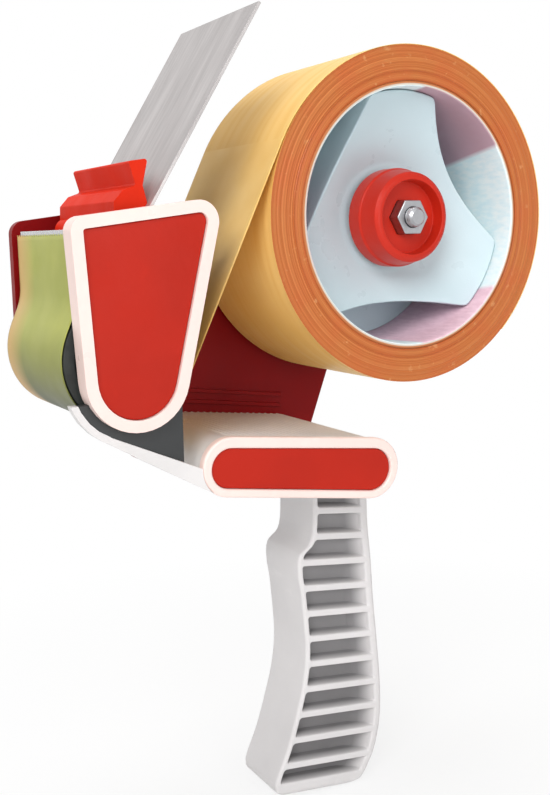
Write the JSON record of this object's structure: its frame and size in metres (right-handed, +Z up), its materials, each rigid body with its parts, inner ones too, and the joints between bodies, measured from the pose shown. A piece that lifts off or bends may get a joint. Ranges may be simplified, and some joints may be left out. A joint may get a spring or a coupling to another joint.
{
  "type": "packing tape dispenser",
  "caption": "Hand-held packing tape dispenser with pistol grip, side frame, spring-tensioned hub, tape roll, front roller, toothed cutter and wiper flap",
  "frame": {"origin": "middle of the grip, on the plane through the middle of the tape's width", "axes": "+X points back from the cutter towards the roll, +Y from the loading side to the side frame, +Z up along the grip"},
  "size_m": [0.162, 0.0625, 0.2437],
  "materials": {
    "grey_plastic": "satin moulded plastic",
    "grip_plastic": "satin moulded plastic",
    "red_plastic": "semi-gloss moulded plastic",
    "pale_plastic": "semi-gloss moulded plastic",
    "hub_plastic": "smooth moulded plastic",
    "dark_plastic": "matt moulded plastic",
    "nylon": "smooth nylon",
    "rubber": "matt rubber",
    "felt": "pressed felt",
    "steel": "plated steel",
    "satin_steel": "satin spring steel",
    "paper": "wound paper",
    "tape": "glossy film"
  },
  "bodies": {
    "frame": {"chassis": "grey_plastic", "near_arm": "dark_plastic", "side_frame": "red_plastic", "handle": "grip_plastic", "handle_screws": "steel", "frame_screws": "steel", "beam_bezel": "pale_plastic", "beam_insert": "red_plastic", "near_cheek": "pale_plastic", "cheek_insert": "red_plastic", "blade_bar": "red_plastic", "bar_screws": "steel", "blade": "steel", "blade_screws": "steel", "roller_axle": "steel", "wiper_pin": "steel", "wiper_spring": "steel", "axle_bolt": "steel", "friction_disc": "felt", "tension_spring": "steel", "tape_web": "tape"},
    "hub": {"hub": "hub_plastic", "hub_bush": "nylon", "tape_core": "paper", "tape_winding": "tape"},
    "roller": {"roller_core": "dark_plastic", "roller_sleeve": "rubber", "roller_bushes": "nylon"},
    "wiper": {"wiper_plate": "satin_steel", "wiper_carrier": "red_plastic", "wiper_strip": "steel", "wiper_screws": "steel"},
    "washer": {"thrust_washer": "steel"},
    "knob": {"knob": "red_plastic", "hex_nut": "steel"}
  },
  "joints": [
    {"name": "hub_spin", "type": "hinge", "parent": "frame", "child": "hub", "pos_m": [0.019, 0, 0.135], "axis": [0, 1, 0], "continuous": true},
    {"name": "roller_spin", "type": "hinge", "parent": "frame", "child": "roller", "pos_m": [-0.0747, 0, 0.0987], "axis": [0, 1, 0], "continuous": true},
    {"name": "wiper_flex", "type": "hinge", "parent": "frame", "child": "wiper", "pos_m": [-0.0739, 0, 0.13281], "axis": [0, 1, 0], "range_deg": [0, 18], "stiffness_Nm_per_rad": 0.25, "springref_deg": -8.59, "deforming": ["wiper_spring"]},
    {"name": "tension_slide", "type": "slide", "parent": "frame", "child": "washer", "axis": [0, 1, 0], "range_m": [-0.00099, 0.00099], "deforming": ["tension_spring"]},
    {"name": "knob_turn", "type": "hinge", "parent": "washer", "child": "knob", "pos_m": [0.019, -0.018, 0.135], "axis": [0, 1, 0], "range_deg": [-360, 360]}
  ],
  "couplings": [
    {"joint": "roller_spin", "follows": "hub_spin", "ratio": -2.8249},
    {"joint": "knob_turn", "follows": "tension_slide", "rad_per_m": 6283.2}
  ]
}
